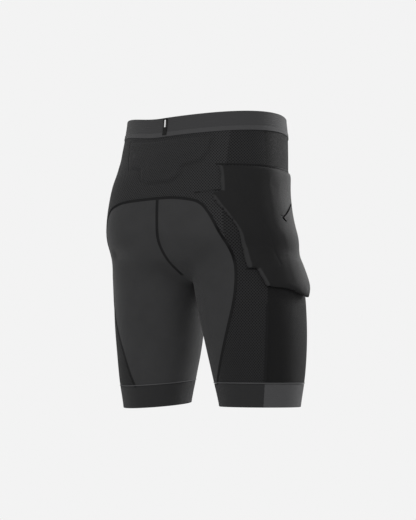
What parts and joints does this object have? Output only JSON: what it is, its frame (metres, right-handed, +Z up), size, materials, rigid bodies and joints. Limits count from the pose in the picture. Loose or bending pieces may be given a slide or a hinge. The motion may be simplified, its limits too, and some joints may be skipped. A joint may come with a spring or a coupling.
{
  "type": "padded impact shorts",
  "caption": "Close-fitting knee-length padded shorts with stepped hip and tailbone pads, mesh sides, wide elastic waistband and knitted cuffs.",
  "frame": {"origin": "centre of the waist opening, level with the highest points of its rim", "axes": "+Z up the body, +Y towards the wearer's back, +X to the wearer's left"},
  "size_m": [0.3908, 0.2553, 0.5001],
  "materials": {
    "band_knit": "ribbed knitted elastic, charcoal",
    "band_strip": "smooth woven elastic edge",
    "tab_weave": "plain woven tape, black with a pale bar",
    "side_mesh": "open diamond mesh knit, black",
    "front_mesh": "fine stretch mesh, black",
    "seat_cloth": "smooth brushed stretch knit, charcoal",
    "seam_thread": "flat overlocked seam in black thread",
    "cuff_knit": "firm knitted hem band",
    "piping": "narrow pale piping",
    "gripper": "printed silicone",
    "foam": "slow-recovery impact foam, soft",
    "lining": "thin brushed lining",
    "pad_cover": "smooth bonded stretch cover"
  },
  "bodies": {
    "pelvis": {"waistband": "band_knit", "band_edge_strip": "band_strip", "back_tab": "tab_weave", "back_yoke": "side_mesh", "front_pouch": "seat_cloth", "centre_back_seam": "seam_thread", "tailbone_pad": "foam", "tailbone_pocket": "lining", "hip_pad_left": "foam", "hip_pad_right": "foam", "hip_cover_left": "pad_cover", "hip_cover_right": "pad_cover", "hip_backing_left": "lining", "hip_backing_right": "lining"},
    "left_leg": {"seat_panel_left": "seat_cloth", "side_panel_left": "side_mesh", "front_panel_left": "front_mesh", "seat_seam_left": "seam_thread", "side_seam_left": "seam_thread", "leg_cuff_left": "cuff_knit", "cuff_piping_left": "piping", "cuff_gripper_left": "gripper"},
    "right_leg": {"seat_panel_right": "seat_cloth", "side_panel_right": "side_mesh", "front_panel_right": "front_mesh", "seat_seam_right": "seam_thread", "side_seam_right": "seam_thread", "leg_cuff_right": "cuff_knit", "cuff_piping_right": "piping", "cuff_gripper_right": "gripper"}
  },
  "joints": [
    {"name": "left_hip_flex", "type": "hinge", "parent": "pelvis", "child": "left_leg", "pos_m": [0.088, 0.006, -0.19], "axis": [-1, 0, 0], "range_deg": [-15, 40], "deforming": ["seat_panel_left", "side_panel_left", "front_panel_left", "seat_seam_left", "side_seam_left", "hip_pad_left", "hip_cover_left", "hip_backing_left", "centre_back_seam"]},
    {"name": "right_hip_flex", "type": "hinge", "parent": "pelvis", "child": "right_leg", "pos_m": [-0.088, 0.006, -0.19], "axis": [-1, 0, 0], "range_deg": [-15, 40], "deforming": ["seat_panel_right", "side_panel_right", "front_panel_right", "seat_seam_right", "side_seam_right", "hip_pad_right", "hip_cover_right", "hip_backing_right", "centre_back_seam"]}
  ]
}
